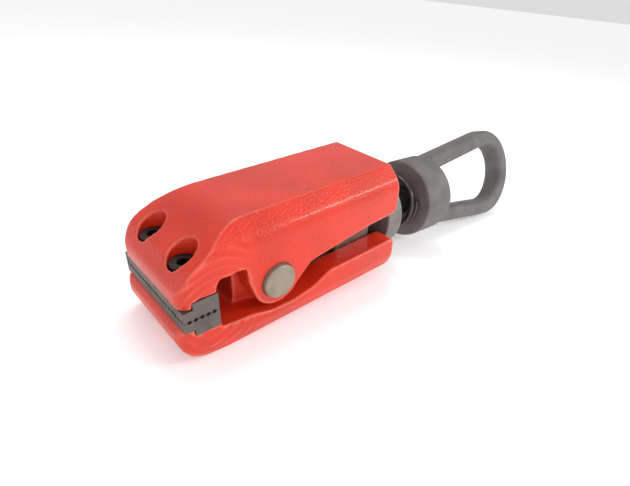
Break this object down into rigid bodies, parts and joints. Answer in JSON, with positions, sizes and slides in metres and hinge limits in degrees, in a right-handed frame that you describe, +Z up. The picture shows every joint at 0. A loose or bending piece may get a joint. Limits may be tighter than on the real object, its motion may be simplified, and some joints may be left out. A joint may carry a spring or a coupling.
{
  "type": "self-tightening pull clamp",
  "caption": "Self-tightening pull clamp: pivoted forged jaws with toothed inserts, a wedge on a sprung draw bar that closes the bite, and a swivelling pull eye.",
  "frame": {"origin": "middle of the footprint, on the surface that the clamp lies on", "axes": "+X along the pull axis from the jaws to the eye, +Y along the cross pin, +Z up; the jaws slope down to the nose by 4.15 degrees"},
  "size_m": [0.3282, 0.0702, 0.0774],
  "materials": {
    "red_paint": "gloss red paint over a forging",
    "insert_steel": "dark hardened steel",
    "black_screw": "black oxide",
    "pin_steel": "plain turned steel",
    "plate_steel": "ground hardened steel",
    "wedge_steel": "ground steel",
    "bar_steel": "dark heat-treated steel",
    "bright_steel": "zinc-plated steel",
    "disc_steel": "matt blasted steel",
    "spring_steel": "oiled spring steel",
    "forged_grey": "matt grey forged steel"
  },
  "bodies": {
    "lower_jaw": {"lower_jaw": "red_paint", "lower_insert": "insert_steel", "lower_insert_screws": "black_screw", "pivot_pin": "pin_steel", "pin_lock": "bright_steel", "lower_guide_plate": "plate_steel", "lower_guide_screws": "black_screw", "seat_disc": "disc_steel", "compression_spring": "spring_steel"},
    "upper_jaw": {"upper_jaw": "red_paint", "upper_insert": "insert_steel", "upper_insert_screws": "black_screw", "upper_ramp_plate": "plate_steel", "upper_ramp_screws": "black_screw"},
    "draw_bar": {"draw_bar": "bar_steel", "wedge_block": "wedge_steel", "draw_bar_nut": "bright_steel", "draw_bar_washer": "bright_steel", "nut_split_pin": "bright_steel", "swivel_washer": "bright_steel"},
    "pull_eye": {"pull_eye": "forged_grey"}
  },
  "joints": [
    {"name": "draw_slide", "type": "slide", "parent": "lower_jaw", "child": "draw_bar", "axis": [-1, 0, 0], "range_m": [0, 0.014], "stiffness_N_per_m": 17000, "springref_m": -0.003, "deforming": ["compression_spring"]},
    {"name": "jaw_hinge", "type": "hinge", "parent": "lower_jaw", "child": "upper_jaw", "pos_m": [-0.10898, 0, 0.03283], "axis": [0, 1, 0], "range_deg": [0, 3.9]},
    {"name": "eye_swivel", "type": "hinge", "parent": "draw_bar", "child": "pull_eye", "pos_m": [0.03102, 0, 0.03473], "axis": [1, 0, 0], "continuous": true}
  ],
  "couplings": [
    {"joint": "jaw_hinge", "follows": "draw_slide", "rad_per_m": 4.8}
  ]
}
